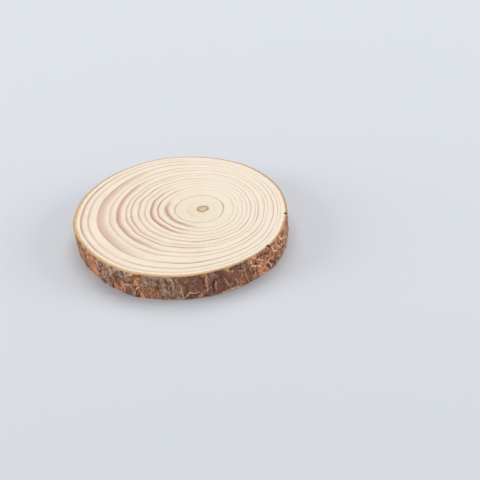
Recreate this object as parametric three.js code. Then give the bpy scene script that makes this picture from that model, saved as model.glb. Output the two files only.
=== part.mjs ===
// A slice sawn across a young pine trunk, lying on its lower sawn face: a disc of wood, and
// the ring of thin flaky bark that grew round it. Millimetres, +Z up, the front towards -Y.
// The growth centre, the pith, lies off the middle towards +X.
import * as THREE from "three";
import { mergeVertices } from "three/addons/utils/BufferGeometryUtils.js";

// Driving dimensions
const DIAMETER = 76; // across the bark, at the upper face
const THICKNESS = 10; // between the two sawn faces
const BARK = 1.5; // mean thickness of the bark
const PITH = new THREE.Vector2(8.0, 1.7); // growth centre, from the middle of the upper face
const LEAN = 0.55; // the trunk leaned, so the lower face lies this far towards +X
const TAPER = 0.012; // the lower face is smaller by this share

// Bark plates, in staggered columns round the trunk
const PLATE_COLUMNS = 26; // an even number, so that the stagger closes
const PLATE_HEIGHT = 9.5; // one row's pitch along the trunk
const PLATE_STRETCH = 0.7; // plates are longer along the trunk than round it
const PLATE_JITTER = 0.76; // how far a plate's middle strays, as a share of its cell
const PLATE_STEP = 0.6; // the most that two plates' heights differ
const PLATE_CURL = 0.04; // rise per millimetre across a plate that lifts at one side
const FURROW_WIDTH = 1.3; // from a furrow's bottom to the flat of the plate
const FURROW_DEPTH = 0.55;
const EDGE_WANDER = 0.9; // how far the plates' edges stray from straight lines
const RIM_TRIM = 0.6; // the share of the relief that sanding took off at the upper rim
const RIM_DEPTH = 1.8; // how far down the rim it reaches

// How finely the solids are faceted
const STEPS_ROUND = 280;
const STEPS_UP = 9;

// Waves in the wood's outline: how many round the slice, how high, and where the first crest is
const OUTLINE_WAVES = [
  { count: 3, height: 0.14, crest: 1.55 },
  { count: 5, height: 0.12, crest: 0.62 },
  { count: 8, height: 0.08, crest: 0.2 },
  { count: 13, height: 0.05, crest: 0.4 },
];

const WOOD_RADIUS = DIAMETER / 2 - BARK;
const PLATE_WIDTH = (Math.PI * DIAMETER) / PLATE_COLUMNS;

// A repeatable random number from 0 to 1 for a plate and a trait of it.
function chance(column, row, trait) {
  const mixed = Math.sin(column * 12.9898 + row * 78.233 + trait * 37.719) * 43758.5453;
  return mixed - Math.floor(mixed);
}

// The wood's radius in a direction, at the upper face.
function woodRadius(bearing) {
  return OUTLINE_WAVES.reduce(
    (radius, wave) => radius + wave.height * Math.cos(wave.count * (bearing - wave.crest)),
    WOOD_RADIUS,
  );
}

// The plates whose middles lie round a place on the bark, with the way from each middle to it.
function platesNear(bearing, z) {
  const wander = EDGE_WANDER * Math.sin(9 * bearing + 0.9 * z);
  const sway = EDGE_WANDER * Math.sin(16 * bearing - 0.7 * z + 2.1);
  const along = (bearing / (2 * Math.PI)) * PLATE_COLUMNS + wander / PLATE_WIDTH;
  const plates = [];
  for (let i = -1; i <= 1; i++) {
    const cell = Math.floor(along) + i;
    const column = ((cell % PLATE_COLUMNS) + PLATE_COLUMNS) % PLATE_COLUMNS;
    const up = (z + sway) / PLATE_HEIGHT + (column % 2) / 2;
    for (let j = -1; j <= 1; j++) {
      const row = Math.floor(up) + j;
      const middleAlong = cell + 0.5 + PLATE_JITTER * (chance(column, row, 1) - 0.5);
      const middleUp = row + 0.5 + PLATE_JITTER * (chance(column, row, 2) - 0.5);
      const across = (along - middleAlong) * PLATE_WIDTH;
      const rise = (up - middleUp) * PLATE_HEIGHT;
      plates.push({ column, row, across, distance: Math.hypot(across, rise * PLATE_STRETCH) });
    }
  }
  return plates.sort((a, b) => a.distance - b.distance);
}

// The bark's thickness at a place: each plate has its own height and curl, with furrows between.
function barkThickness(bearing, z) {
  const [plate, next] = platesNear(bearing, z);
  const height = PLATE_STEP * (chance(plate.column, plate.row, 3) - 0.5);
  const curl = PLATE_CURL * plate.across * Math.sign(chance(plate.column, plate.row, 4) - 0.5);
  const toEdge = next.distance - plate.distance;
  const onPlate = THREE.MathUtils.smoothstep(toEdge, 0, FURROW_WIDTH);
  const relief = (height + curl) * onPlate - FURROW_DEPTH * (1 - onPlate);
  const atRim = THREE.MathUtils.smoothstep(z, THICKNESS - RIM_DEPTH, THICKNESS);
  return BARK + relief * (1 - RIM_TRIM * atRim);
}

// A place at a bearing and height, a stated distance outside the wood.
function placeOutsideWood(bearing, z, outside) {
  const below = 1 - z / THICKNESS;
  const radius = woodRadius(bearing) * (1 - TAPER * below) + outside;
  return new THREE.Vector3(
    radius * Math.cos(bearing) + LEAN * below,
    radius * Math.sin(bearing),
    z,
  );
}

// Turns a closed profile about +Z, and moves each of its points to where place puts it.
function turned(profile, place) {
  const lathe = new THREE.LatheGeometry(profile, STEPS_ROUND).rotateX(Math.PI / 2);
  lathe.deleteAttribute("normal");
  lathe.deleteAttribute("uv");
  const geometry = mergeVertices(lathe);
  const points = geometry.getAttribute("position");
  const point = new THREE.Vector3();
  for (let i = 0; i < points.count; i++) {
    point.fromBufferAttribute(points, i);
    const moved = place(Math.atan2(point.y, point.x), point);
    points.setXYZ(i, moved.x, moved.y, moved.z);
  }
  geometry.computeVertexNormals();
  return geometry;
}

// The wood: two flat sawn faces that meet at the wall under the bark, each fanned from the pith.
function woodGeometry() {
  const profile = [
    new THREE.Vector2(0, 0),
    new THREE.Vector2(WOOD_RADIUS, 0),
    new THREE.Vector2(WOOD_RADIUS, THICKNESS),
    new THREE.Vector2(0, THICKNESS),
  ];
  return turned(profile, (bearing, point) =>
    Math.hypot(point.x, point.y) < WOOD_RADIUS / 2
      ? new THREE.Vector3(PITH.x, PITH.y, point.z)
      : placeOutsideWood(bearing, point.z, 0),
  );
}

// The bark: a ring sawn flush with the wood, plated and furrowed outside.
function barkGeometry() {
  const profile = [new THREE.Vector2(WOOD_RADIUS, 0)];
  for (let step = 0; step <= STEPS_UP; step++) {
    profile.push(new THREE.Vector2(WOOD_RADIUS + BARK, (THICKNESS * step) / STEPS_UP));
  }
  profile.push(new THREE.Vector2(WOOD_RADIUS, THICKNESS), new THREE.Vector2(WOOD_RADIUS, 0));
  return turned(profile, (bearing, point) => {
    const onWood = Math.hypot(point.x, point.y) < WOOD_RADIUS + BARK / 2;
    return placeOutsideWood(bearing, point.z, onWood ? 0 : barkThickness(bearing, point.z));
  });
}

function named(name, geometry, look) {
  const mesh = new THREE.Mesh(geometry, new THREE.MeshStandardMaterial(look));
  mesh.name = name;
  return mesh;
}

const slice = new THREE.Group();
slice.add(
  named("wood", woodGeometry(), { color: 0xefdfc2, roughness: 0.75, metalness: 0 }),
  named("bark", barkGeometry(), { color: 0x6f5044, roughness: 0.95, metalness: 0 }),
);

// The origin is the middle of the slice's footprint, on the surface that it lies on.
const footprint = new THREE.Box3().setFromObject(slice).getCenter(new THREE.Vector3());
slice.position.set(-footprint.x, -footprint.y, 0);

export default slice;
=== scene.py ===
"""Dresses a slice of a young pine trunk: ringed wood inside a ring of thin, flaky bark."""

import logging
import math
from dataclasses import dataclass, field
from enum import Enum
from functools import cached_property

import bmesh
import bpy
from mathutils import Matrix, Vector, noise


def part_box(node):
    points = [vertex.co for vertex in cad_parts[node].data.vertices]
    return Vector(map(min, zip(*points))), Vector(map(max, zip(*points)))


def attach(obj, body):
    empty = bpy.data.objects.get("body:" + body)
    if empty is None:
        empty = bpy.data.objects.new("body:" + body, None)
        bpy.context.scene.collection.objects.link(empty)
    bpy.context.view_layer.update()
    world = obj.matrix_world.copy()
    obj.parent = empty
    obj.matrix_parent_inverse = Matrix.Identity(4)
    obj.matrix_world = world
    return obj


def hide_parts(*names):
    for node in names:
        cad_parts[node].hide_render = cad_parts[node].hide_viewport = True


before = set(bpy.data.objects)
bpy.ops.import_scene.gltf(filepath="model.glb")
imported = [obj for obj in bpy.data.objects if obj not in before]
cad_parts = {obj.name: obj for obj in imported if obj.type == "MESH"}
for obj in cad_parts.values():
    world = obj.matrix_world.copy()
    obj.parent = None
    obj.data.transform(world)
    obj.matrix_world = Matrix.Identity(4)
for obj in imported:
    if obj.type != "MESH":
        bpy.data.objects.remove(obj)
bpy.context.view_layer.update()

LOG = logging.getLogger("wood_slice")
MM = 0.001  # a millimetre in metres
TINY = 1e-4  # millimetres, and shares, that are as good as none
SHARP_EDGE = math.radians(50)  # an edge that turns further isn't smoothed
DOUBLINGS = 4  # how often a spun sector is doubled before it closes
SAWN_EDGE = 0.94  # where the bark's sawn edge meets its outside, as a share of the bark
OUTLINE_STEPS = 720  # how many bearings the wood's outline is measured at
SEED = 5  # for the noise that would otherwise differ from run to run

Colour = tuple[int, int, int]
Span = tuple[float, float]
Stops = tuple[tuple[float, Colour], ...]
Source = bpy.types.NodeSocket | float | tuple[float, ...]


def ease(value: float, low: float, high: float) -> float:
    """Rises smoothly from 0 to 1.

    Args:
        value: the number to follow.
        low: where the rise starts.
        high: where it ends.

    Returns:
        A share from 0 to 1.
    """
    share = min(max((value - low) / (high - low), 0.0), 1.0)
    return share * share * (3 - 2 * share)


def bell(distance: float, width: float) -> float:
    """Falls smoothly from 1 on a line to 0 at the width from it.

    Args:
        distance: how far from the line.
        width: where the fall ends.

    Returns:
        A share from 0 to 1.
    """
    return 1 - ease(distance, 0.0, width)


def linear(colour: Colour) -> tuple[float, float, float, float]:
    """Turns a screen colour into the linear one that a shader takes.

    Args:
        colour: red, green and blue from 0 to 255.

    Returns:
        Linear red, green and blue, and full opacity.
    """
    shares = [part / 255 for part in colour]
    light = [s / 12.92 if s <= 0.04045 else ((s + 0.055) / 1.055) ** 2.4 for s in shares]
    return (light[0], light[1], light[2], 1.0)


def between(angle: float, other: float) -> float:
    """The turn from one angle to another, the short way round, in radians."""
    return (angle - other + math.pi) % (2 * math.pi) - math.pi


@dataclass(frozen=True)
class Wave:
    """A wave in an outline.

    Attributes:
        count: how many there are round it.
        height: how far a crest stands out.
        crest: the bearing of the first crest.
    """

    count: int
    height: float
    crest: float

    def at(self, bearing: float) -> float:
        """How far the wave stands out in a direction."""
        return self.height * math.cos(self.count * (bearing - self.crest))


@dataclass(frozen=True)
class Trunk:
    """The stretch of trunk that was sawn out, in millimetres about the middle of its upper face.

    Attributes:
        thickness: between the two sawn faces.
        wood_radius: the wood's mean radius at the upper face.
        bark: the bark's mean thickness.
        pith: the growth centre.
        lean: how far the lower face lies towards +X.
        taper: the share by which the lower face is smaller.
        waves: the waves in the wood's outline, in millimetres.
    """

    thickness: float
    wood_radius: float = 36.5
    bark: float = 1.5
    pith: Vector = Vector((8.0, 1.7))
    lean: float = 0.55
    taper: float = 0.012
    waves: tuple[Wave, ...] = (
        Wave(3, 0.14, 1.55),
        Wave(5, 0.12, 0.62),
        Wave(8, 0.08, 0.2),
        Wave(13, 0.05, 0.4),
    )

    @property
    def radius(self) -> float:
        """The mean radius over the bark."""
        return self.wood_radius + self.bark

    def outline(self, bearing: float) -> float:
        """The wood's radius at the upper face in a direction."""
        return self.wood_radius + sum(wave.at(bearing) for wave in self.waves)

    def place(self, bearing: float, z: float, outside: float = 0.0) -> Vector:
        """Finds a place on the wood's wall, or outside it.

        Args:
            bearing: the direction from the middle of the slice.
            z: the height above the lower face.
            outside: how far outside the wood.

        Returns:
            The place in millimetres.
        """
        below = 1 - z / self.thickness
        radius = self.outline(bearing) * (1 - self.taper * below) + outside
        side = Vector((math.cos(bearing), math.sin(bearing), 0.0))
        return side * radius + Vector((self.lean * below, 0.0, z))

    def middle(self) -> Vector:
        """Finds where the frame has the middle of the slice's upper face, dropped to the floor.

        Returns:
            The place in millimetres, from the wood's box in the frame.
        """
        bearings = [2 * math.pi * step / OUTLINE_STEPS for step in range(OUTLINE_STEPS)]
        rim = [self.place(b, z) for b in bearings for z in (0.0, self.thickness)]
        low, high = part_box("wood")
        own = [(min(p[i] for p in rim) + max(p[i] for p in rim)) / 2 for i in (0, 1)]
        return Vector(((low.x + high.x) / 2 / MM - own[0], (low.y + high.y) / 2 / MM - own[1], 0.0))


def sawn_trunk() -> Trunk:
    """The trunk at the thickness that the frame gives the slice."""
    low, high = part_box("wood")
    return Trunk(thickness=(high.z - low.z) / MM)


class Recipe:
    """A material whose nodes are laid down one after another."""

    def __init__(self, name: str, roughness: float, gloss: float) -> None:
        """Starts a material.

        Args:
            name: the material's name.
            roughness: the roughness all over the surface.
            gloss: the specular level all over the surface.
        """
        self.material = bpy.data.materials.new(name)
        self.material.use_nodes = True
        self.tree = self.material.node_tree
        self.skin = self.tree.nodes["Principled BSDF"]
        self.skin.inputs["Roughness"].default_value = roughness
        self.skin.inputs["Specular IOR Level"].default_value = gloss

    def node(self, kind: str, **settings: object) -> bpy.types.Node:
        """Adds a node.

        Args:
            kind: the node's type.
            settings: its properties by name.

        Returns:
            The node.
        """
        made = self.tree.nodes.new(kind)
        for name, value in settings.items():
            setattr(made, name, value)
        return made

    def feed(self, socket: bpy.types.NodeSocket, source: Source) -> None:
        """Links a socket to an output, or sets its value.

        Args:
            socket: the input.
            source: an output or a value.
        """
        if isinstance(source, bpy.types.NodeSocket):
            self.tree.links.new(source, socket)
        else:
            socket.default_value = source

    def measure(self, name: str) -> bpy.types.NodeSocket:
        """A number that the mesh carries at each point."""
        return self.node("ShaderNodeAttribute", attribute_name=name).outputs["Fac"]

    def place(self) -> bpy.types.NodeSocket:
        """The place on the piece, in metres."""
        return self.node("ShaderNodeTexCoord").outputs["Object"]

    def figure(self, way: str, *numbers: Source) -> bpy.types.NodeSocket:
        """Works out a number.

        Args:
            way: the operation.
            numbers: the numbers that it takes, in order.

        Returns:
            The result.
        """
        made = self.node("ShaderNodeMath", operation=way)
        for socket, number in zip(made.inputs, numbers):
            self.feed(socket, number)
        return made.outputs[0]

    def vector(self, way: str, *vectors: Source) -> bpy.types.NodeSocket:
        """Works out a vector.

        Args:
            way: the operation.
            vectors: the vectors that it takes, in order.

        Returns:
            The result.
        """
        made = self.node("ShaderNodeVectorMath", operation=way)
        for socket, vector in zip(made.inputs, vectors):
            self.feed(socket, vector)
        return made.outputs[0]

    def lit(self, colour: Source, factor: Source) -> bpy.types.NodeSocket:
        """Lightens or darkens a colour.

        Args:
            colour: the colour.
            factor: the number that each of its parts is multiplied by.

        Returns:
            The changed colour.
        """
        made = self.node("ShaderNodeVectorMath", operation="SCALE")
        self.feed(made.inputs[0], colour)
        self.feed(made.inputs["Scale"], factor)
        return made.outputs[0]

    def spread(self, value: Source, low: float, high: float, to_low: float = 0.0,
               to_high: float = 1.0) -> bpy.types.NodeSocket:
        """Maps a range of numbers smoothly onto another.

        Args:
            value: the number to map.
            low: the range's lower end.
            high: its upper end.
            to_low: what the lower end becomes.
            to_high: what the upper end becomes.

        Returns:
            The mapped number.
        """
        made = self.node("ShaderNodeMapRange", interpolation_type="SMOOTHSTEP")
        for name, number in zip(("Value", "From Min", "From Max", "To Min", "To Max"),
                                (value, low, high, to_low, to_high)):
            self.feed(made.inputs[name], number)
        return made.outputs["Result"]

    def grain(self, where: Source, size: float, detail: float = 3.0,
              rough: float = 0.55) -> bpy.types.NodeSocket:
        """Smooth random variation.

        Args:
            where: the place to read it at.
            size: the size of a patch in the units of the place.
            detail: how many finer layers it has.
            rough: how strong the finer layers are.

        Returns:
            A number about 0.5.
        """
        made = self.node("ShaderNodeTexNoise")
        self.feed(made.inputs["Vector"], where)
        made.inputs["Scale"].default_value = 1 / size
        made.inputs["Detail"].default_value = detail
        made.inputs["Roughness"].default_value = rough
        return made.outputs["Fac"]

    def blend(self, share: Source, first: Source, second: Source) -> bpy.types.NodeSocket:
        """Lays one colour over another.

        Args:
            share: how much of the second shows.
            first: the colour below.
            second: the colour above.

        Returns:
            The mixed colour.
        """
        made = self.node("ShaderNodeMix", data_type="RGBA")
        self.feed(made.inputs["Factor"], share)
        colours = [socket for socket in made.inputs if socket.type == "RGBA"]
        self.feed(colours[0], first)
        self.feed(colours[1], second)
        return next(socket for socket in made.outputs if socket.type == "RGBA")

    def ramp(self, share: Source, stops: Stops) -> bpy.types.NodeSocket:
        """Runs through a row of colours.

        Args:
            share: the place along the row, from 0 to 1.
            stops: the places and their colours, in order.

        Returns:
            The colour at the place.
        """
        made = self.node("ShaderNodeValToRGB")
        row = made.color_ramp.elements
        while len(row) < len(stops):
            row.new(1.0)
        for element, (position, colour) in zip(row, stops):
            element.position = position
            element.color = linear(colour)
        self.feed(made.inputs["Fac"], share)
        return made.outputs["Color"]

    def finish(self, colour: Source, relief: Source, depth: float) -> bpy.types.Material:
        """Gives the shader its colour and its finest relief.

        Args:
            colour: the surface's colour.
            relief: a height from 0 to 1.
            depth: how deep the relief is, in millimetres.

        Returns:
            The material.
        """
        bump = self.node("ShaderNodeBump")
        bump.inputs["Distance"].default_value = depth * MM
        self.feed(bump.inputs["Height"], relief)
        self.feed(self.skin.inputs["Base Color"], colour)
        self.feed(self.skin.inputs["Normal"], bump.outputs["Normal"])
        return self.material


def spun(profile: list[tuple[float, float]], steps: int) -> bmesh.types.BMesh:
    """Spins a closed profile about +Z: a sector first, which is then doubled until it closes.

    Args:
        profile: radius and height of each point in turn, in millimetres.
        steps: how many steps go round, a multiple of 2 ** DOUBLINGS.

    Returns:
        A closed skin, whose seams and poles are merged.
    """
    made = bmesh.new()
    points = [made.verts.new((radius, 0.0, height)) for radius, height in profile]
    edges = [made.edges.new(pair) for pair in zip(points, points[1:])]
    if profile[0][0] > 0:
        edges.append(made.edges.new((points[-1], points[0])))
    sector = 2 * math.pi / 2 ** DOUBLINGS
    bmesh.ops.spin(made, geom=points + edges, cent=(0, 0, 0), axis=(0, 0, 1),
                   angle=sector, steps=steps // 2 ** DOUBLINGS)
    for doubling in range(DOUBLINGS):
        copy = bmesh.ops.duplicate(made, geom=[*made.verts, *made.edges, *made.faces])["geom"]
        turn = Matrix.Rotation(sector * 2 ** doubling, 3, "Z")
        corners = [part for part in copy if isinstance(part, bmesh.types.BMVert)]
        bmesh.ops.rotate(made, matrix=turn, verts=corners)
    bmesh.ops.remove_doubles(made, verts=made.verts, dist=TINY)
    return made


def shown(made: bmesh.types.BMesh, name: str, material: bpy.types.Material) -> bpy.types.Object:
    """Turns a worked skin into a piece of the scene, smooth but for its sharp edges.

    Args:
        made: the skin, which is freed.
        name: the piece's name.
        material: its finish.

    Returns:
        The piece.
    """
    bmesh.ops.recalc_face_normals(made, faces=made.faces)
    for face in made.faces:
        face.smooth = True
    for edge in made.edges:
        edge.smooth = edge.calc_face_angle(0.0) < SHARP_EDGE
    mesh = bpy.data.meshes.new(name)
    made.to_mesh(mesh)
    made.free()
    mesh.materials.append(material)
    piece = bpy.data.objects.new(name, mesh)
    bpy.context.collection.objects.link(piece)
    return piece


@dataclass(frozen=True)
class Ring:
    """One year's growth, out to the dark line of its late wood.

    Attributes:
        reach: the mean share of the way from the pith to the bark at its line.
        wide_side: how dark the line is where the rings are wide.
        narrow_side: how dark it is opposite.
        band: how dark the broad brown band inside the line is, where the rings are wide.
        band_width: the band's width, as a share of the way.
        band_peak: how far inside the line the band is darkest, as a share of the way.
    """

    reach: float
    wide_side: float
    narrow_side: float
    band: float = 0.1
    band_width: float = 0.03
    band_peak: float = 0.0


@dataclass(frozen=True)
class GrowthRings:
    """The rings of the wood, wide on the side where the leaning trunk was pushed.

    Attributes:
        years: the rings from the pith outwards.
        shape: the waves in a ring half way out, in shares of the way to the bark.
        wobble: how far a ring strays from those waves, in the same shares.
        wobble_pace: how fast that changes round the pith, and from the pith to the bark.
        inner: the shares between which the rings take up that shape.
        outer: the rings take up the bark's own outline over this last share of the way.
        wide_bearing: the direction, from the pith, in which the rings are widest.
        pale_bearing: the direction in which the lines are palest.
        pale_width: how far to each side of it they are pale.
        pale: the share of their darkness that they lose there.
        uneven: how far the lines fade and darken along their length.
        uneven_pace: how fast that changes round the pith, and from the pith to the bark.
        line_width: the width of a year's dark line, as a share of the way to the bark.
        line_row: where in the line, as a share of its width, the face has one more row of points.
        edge: half the width of the line's sharp outer edge, as a share.
        line_side: how wide the rings are, from 0 to 1, where a line turns to its wide side.
        band_row: where in a broad band, in the same way, the face has one more row.
        band_flat: how much steeper the band falls off, once its flat part is past.
        band_bearing: the direction, at the pith, in which the bands are darkest.
        band_turn: how far that direction turns from the pith to the bark.
        band_side: how near that direction, from 0 to 1, a band starts and is full.
        pith_rows: the shares at which the pith and its edge are drawn.
        pith_reach: the share at which the pith's brown edge is darkest.
        pith_edge: half the width of that edge, as a share.
        pith_lobes: the waves in the pith's outline, as shares of its radius.
        round_reach: out to here the rings are round the pith; further out they follow the bark.
    """

    years: tuple[Ring, ...] = (
        Ring(0.136, 0.22, 0.06, 0.0),
        Ring(0.249, 0.62, 0.70, 0.0),
        Ring(0.354, 0.34, 0.34, 1.05, 0.054, 0.018),
        Ring(0.411, 0.88, 0.42, 0.25),
        Ring(0.468, 0.66, 0.36, 0.80, 0.038),
        Ring(0.519, 0.50, 0.48),
        Ring(0.570, 0.66, 0.72, 0.15),
        Ring(0.628, 0.66, 0.46, 0.1),
        Ring(0.667, 0.64, 0.82, 0.1),
        Ring(0.741, 0.58, 0.68, 0.80, 0.050),
        Ring(0.792, 0.48, 0.60, 0.05),
        Ring(0.872, 0.40, 0.84, 0.62, 0.070),
        Ring(0.936, 0.50, 0.64, 0.1),
        Ring(0.984, 0.68, 0.40, 0.2),
    )
    shape: tuple[Wave, ...] = (
        Wave(1, 0.058, math.radians(28)),
        Wave(2, 0.006, math.radians(-45)),
        Wave(3, 0.008, math.radians(-62)),
    )
    wobble: float = 0.009
    wobble_pace: Span = (4.0, 6.0)
    inner: Span = (0.15, 0.36)
    outer: float = 0.25
    wide_bearing: float = math.radians(-168)
    pale_bearing: float = math.radians(75)
    pale_width: float = math.radians(75)
    pale: float = 0.5
    uneven: float = 0.7
    uneven_pace: Span = (2.5, 23.0)
    line_width: float = 0.020
    line_row: float = 0.45
    edge: float = 0.003
    line_side: Span = (0.6, 0.97)
    band_row: float = 0.5
    band_flat: float = 1.7
    band_bearing: float = math.radians(-140)
    band_turn: float = math.radians(-48)
    band_side: Span = (0.74, 0.97)
    pith_rows: tuple[float, ...] = (0.0, 0.014, 0.028, 0.038, 0.047, 0.056, 0.066, 0.085)
    pith_reach: float = 0.047
    pith_edge: float = 0.018
    pith_lobes: tuple[Wave, ...] = (
        Wave(2, 0.06, 0.5),
        Wave(3, 0.05, 0.4),
        Wave(5, 0.05, 0.9),
        Wave(8, 0.04, 0.2),
    )
    round_reach: float = 0.2

    def rows(self) -> list[float]:
        """The shares at which the face has a row of points, from the pith to the bark.

        Returns:
            The shares in rising order.
        """
        rows = set(self.pith_rows) | {1.0}
        for ring in self.years:
            band = {ring.band_width, self.band_row * ring.band_width}
            line = {self.line_width, self.line_row * self.line_width, self.edge, -self.edge}
            rows.update(ring.reach - width for width in band | line)
        return sorted(row for row in rows if row <= 1.0)

    def drift(self, share: float, bearing: float) -> float:
        """How far a ring lies off its mean reach in a direction.

        Args:
            share: the ring's mean reach.
            bearing: the direction from the pith.

        Returns:
            The shift, as a share of the way to the bark.
        """
        shaped = ease(share, *self.inner) * min(1.0, (1 - share) / self.outer)
        waves = sum(wave.at(bearing) for wave in self.shape)
        return shaped * (waves + self.wobble * self.variation(share, bearing, self.wobble_pace))

    @staticmethod
    def variation(share: float, bearing: float, pace: Span) -> float:
        """Smooth random variation over the face.

        Args:
            share: the mean reach there.
            bearing: the direction from the pith.
            pace: how fast it changes round the pith, and from the pith to the bark.

        Returns:
            A number about 0.
        """
        turning, outwards = pace
        spot = Vector((turning * math.cos(bearing), turning * math.sin(bearing), outwards * share))
        return noise.noise(spot)

    @staticmethod
    def facing(bearing: float, other: float) -> float:
        """From 1 where two directions are the same to 0 where they are opposite."""
        return (1 + math.cos(bearing - other)) / 2

    def shade(self, share: float, bearing: float) -> tuple[float, float]:
        """How dark the wood is at a place.

        Args:
            share: the mean reach there.
            bearing: the direction from the pith.

        Returns:
            The darkness of the year's line and of its broad band.
        """
        ring = next((year for year in self.years if share < year.reach + self.edge + TINY), None)
        if ring is None:
            return 0.0, 0.0
        inside = ring.reach - share
        wide = ease(self.facing(bearing, self.wide_bearing), *self.line_side)
        banded = self.facing(bearing, self.band_bearing + self.band_turn * ring.reach)
        line = max(0.0, 1 - inside / self.line_width) * ease(inside, -self.edge, self.edge)
        fall = 1 - (inside - ring.band_peak) / (ring.band_width - ring.band_peak)
        band = min(max(self.band_flat * fall, 0.0), 1.0)
        band *= ease(inside, -self.edge, self.edge + ring.band_peak)
        strength = ring.narrow_side + (ring.wide_side - ring.narrow_side) * wide
        strength *= 1 - self.pale * bell(abs(between(bearing, self.pale_bearing)), self.pale_width)
        strength *= 1 + self.uneven * self.variation(ring.reach, bearing, self.uneven_pace)
        return min(line, 1.0) * strength, band * ring.band * ease(banded, *self.band_side)


@dataclass(frozen=True)
class WoodFinish:
    """Sanded, unfinished end grain of pine.

    Attributes:
        early: the wood between the lines.
        heart: the wood of the first years.
        flushed: the wood where the rings are wide.
        band: the broad bands of late wood.
        line: the lines of late wood.
        rosy: the lines in their redder stretches.
        pith: the soft pith.
        pith_edge: its brown edge.
        roughness: the roughness all over.
        gloss: the specular level all over.
        relief: the depth of the grain, in millimetres.
        uneven: how far the grain lightens and darkens the wood.
        pore: the size of the pores, in millimetres.
        cloud: the size of the flushed patches, in millimetres.
        stretch: the length of the lines' redder stretches, in millimetres.
        streak: the width of the streaks along the rings, as a share of the way to the bark.
        streak_turn: the radius of the circle that such a streak counts as running round.
        ray: the width of the rays across the rings, in radians round the pith.
        ray_reach: what the whole way to the bark counts as along a ray, in the same unit.
    """

    early: Colour = (247, 233, 211)
    heart: Colour = (243, 231, 204)
    flushed: Colour = (243, 222, 200)
    band: Colour = (198, 153, 124)
    line: Colour = (146, 103, 70)
    rosy: Colour = (178, 108, 88)
    pith: Colour = (226, 200, 166)
    pith_edge: Colour = (150, 120, 86)
    roughness: float = 0.62
    gloss: float = 0.25
    relief: float = 0.05
    uneven: float = 0.07
    pore: float = 0.3
    cloud: float = 9.0
    stretch: float = 7.0
    streak: float = 0.008
    streak_turn: float = 0.045
    ray: float = 0.012
    ray_reach: float = 0.12

    def material(self, pith: Vector) -> bpy.types.Material:
        """Lays the finish down.

        Args:
            pith: the growth centre in metres.

        Returns:
            The material.
        """
        recipe = Recipe("pine_end_grain", self.roughness, self.gloss)
        share = recipe.measure("growth")
        place = recipe.place()
        # Streaks along the rings, rays across them, pores and clouds
        off_pith = recipe.vector("SUBTRACT", place, (pith.x, pith.y, 0.0))
        toward = recipe.vector("NORMALIZE", recipe.vector("MULTIPLY", off_pith, (1.0, 1.0, 0.0)))
        lift = recipe.node("ShaderNodeCombineXYZ")
        recipe.feed(lift.inputs["Z"], share)
        along_rings = recipe.vector("MULTIPLY_ADD", toward, (self.streak_turn,) * 3, lift.outputs[0])
        across_rings = recipe.vector("MULTIPLY_ADD", lift.outputs[0], (0.0, 0.0, self.ray_reach), toward)
        streaks = recipe.grain(along_rings, self.streak, 4.0, 0.65)
        rays = recipe.grain(across_rings, self.ray, 2.0)
        pores = recipe.grain(place, self.pore * MM, 2.0)
        clouds = recipe.grain(place, self.cloud * MM, 2.0)

        # Early wood, paler about the pith and flushed where the rings are wide
        young = recipe.spread(share, 0.12, 0.42, 1.0, 0.0)
        base = recipe.blend(young, linear(self.early), linear(self.heart))
        cloudy = recipe.spread(clouds, 0.3, 0.7, 0.3, 0.85)
        flush = recipe.figure("MULTIPLY", recipe.measure("wide"), cloudy)
        base = recipe.blend(flush, base, linear(self.flushed))
        # Late wood: the broad bands, then the lines
        patchy = recipe.spread(streaks, 0.3, 0.7, 0.72, 1.12)
        band = recipe.figure("MULTIPLY", recipe.measure("band"), patchy)
        base = recipe.blend(band, base, linear(self.band))
        redder = recipe.spread(recipe.grain(place, self.stretch * MM, 1.0), 0.42, 0.6)
        late = recipe.blend(redder, linear(self.line), linear(self.rosy))
        base = recipe.blend(recipe.figure("MULTIPLY", recipe.measure("line"), patchy), base, late)
        # The grain over all of it, and the pith
        grain = recipe.figure("ADD", recipe.spread(streaks, 0.25, 0.75, -0.6, 0.6),
                              recipe.spread(rays, 0.3, 0.7, -0.3, 0.3))
        grain = recipe.figure("ADD", grain, recipe.spread(pores, 0.25, 0.75, -0.5, 0.5))
        base = recipe.lit(base, recipe.figure("MULTIPLY_ADD", grain, self.uneven, 1.0))
        base = recipe.blend(recipe.measure("pith"), base, linear(self.pith))
        ragged = recipe.spread(pores, 0.3, 0.7, 0.3, 1.1)
        edge = recipe.figure("MULTIPLY", recipe.measure("pith_edge"), ragged)
        base = recipe.blend(edge, base, linear(self.pith_edge))
        return recipe.finish(base, grain, self.relief)


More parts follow.
